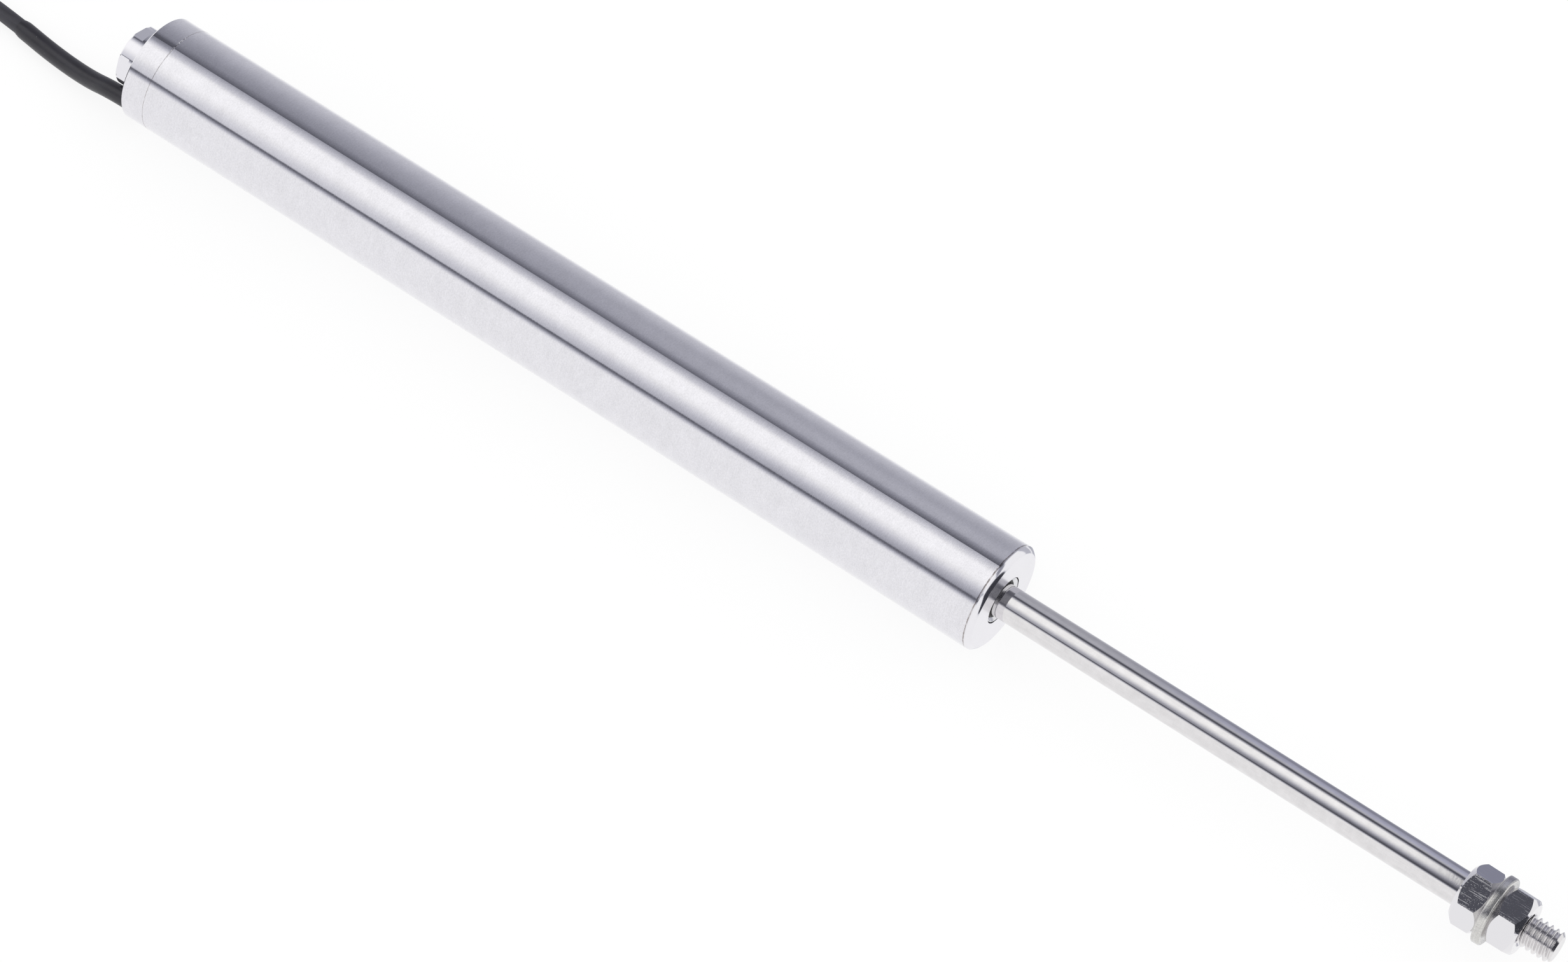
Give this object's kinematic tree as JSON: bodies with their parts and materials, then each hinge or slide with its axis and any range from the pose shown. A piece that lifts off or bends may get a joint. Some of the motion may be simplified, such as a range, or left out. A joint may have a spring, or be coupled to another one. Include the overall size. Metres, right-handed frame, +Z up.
{
  "type": "linear variable differential transformer",
  "caption": "Tubular displacement sensor: a ground steel body with a sliding push rod, nuts and a washer on its threaded end, and a thin screened cable from its rear face.",
  "frame": {"origin": "on the body axis, midway along the body", "axes": "+X along the body axis towards the push rod's threaded end, +Z up; the body lies on a surface at z = -10.3 mm"},
  "size_m": [0.4758, 0.0294, 0.0206],
  "materials": {
    "body_steel": "fine ground stainless steel",
    "turned_steel": "turned and polished stainless steel",
    "rod_steel": "ground bright stainless steel",
    "nut_plating": "bright plated steel",
    "washer_steel": "turned steel with tool marks",
    "bearing_steel": "steel bearing backing",
    "bearing_film": "dark low-friction bearing lining",
    "guide_polymer": "white low-friction polymer",
    "core_alloy": "annealed nickel-iron",
    "shield_iron": "soft magnetic alloy sheet",
    "former_polymer": "moulded black polymer",
    "copper_wire": "enamelled copper wire",
    "tape": "amber polyimide tape",
    "pin_brass": "gilt brass",
    "board_green": "green solder mask",
    "chip_black": "moulded black package",
    "can_aluminium": "drawn aluminium can",
    "wire_jacket": "extruded insulation",
    "cable_jacket": "matt dark grey jacket",
    "sleeve_polymer": "shrunk dark polymer sleeve",
    "tie_nylon": "black nylon",
    "lead_red": "red insulation",
    "lead_white": "white insulation",
    "lead_green": "green insulation",
    "lead_blue": "blue insulation",
    "tinned_copper": "tinned copper strands"
  },
  "bodies": {
    "housing": {"outer_tube": "body_steel", "rear_end_cap": "body_steel", "front_end_cap": "turned_steel", "rear_plug": "turned_steel", "bore_tube": "turned_steel", "bore_plug": "turned_steel", "bearing_shell": "bearing_steel", "bearing_liner": "bearing_film", "magnetic_shield": "shield_iron", "coil_former": "former_polymer", "terminal_plate": "former_polymer", "board_carrier": "former_polymer", "primary_winding": "copper_wire", "rear_secondary_winding": "copper_wire", "front_secondary_winding": "copper_wire", "winding_tape": "tape", "terminal_pins": "pin_brass", "cable_ferrule": "pin_brass", "circuit_board": "board_green", "board_chips": "chip_black", "board_capacitors": "can_aluminium", "inner_wires": "wire_jacket", "cable": "cable_jacket", "cable_coil": "cable_jacket", "cable_tail": "cable_jacket", "cable_sleeve": "sleeve_polymer", "coil_tie": "tie_nylon", "lead_red": "lead_red", "lead_white": "lead_white", "lead_green": "lead_green", "lead_blue": "lead_blue", "lead_tips": "tinned_copper", "screen_tail": "tinned_copper"},
    "guide_rings": {"front_guide_ring": "guide_polymer", "rear_guide_ring": "guide_polymer"},
    "plunger": {"push_rod": "rod_steel", "core_stud": "turned_steel", "core": "core_alloy", "core_lock_nut": "nut_plating", "rear_nut": "nut_plating", "washer": "washer_steel", "front_nut": "nut_plating"}
  },
  "joints": [
    {"name": "rod_slide", "type": "slide", "parent": "housing", "child": "guide_rings", "axis": [1, 0, 0], "range_m": [-0.058, 0.003]},
    {"name": "rod_spin", "type": "hinge", "parent": "guide_rings", "child": "plunger", "pos_m": [0.1, 0, 0], "axis": [1, 0, 0], "continuous": true}
  ]
}
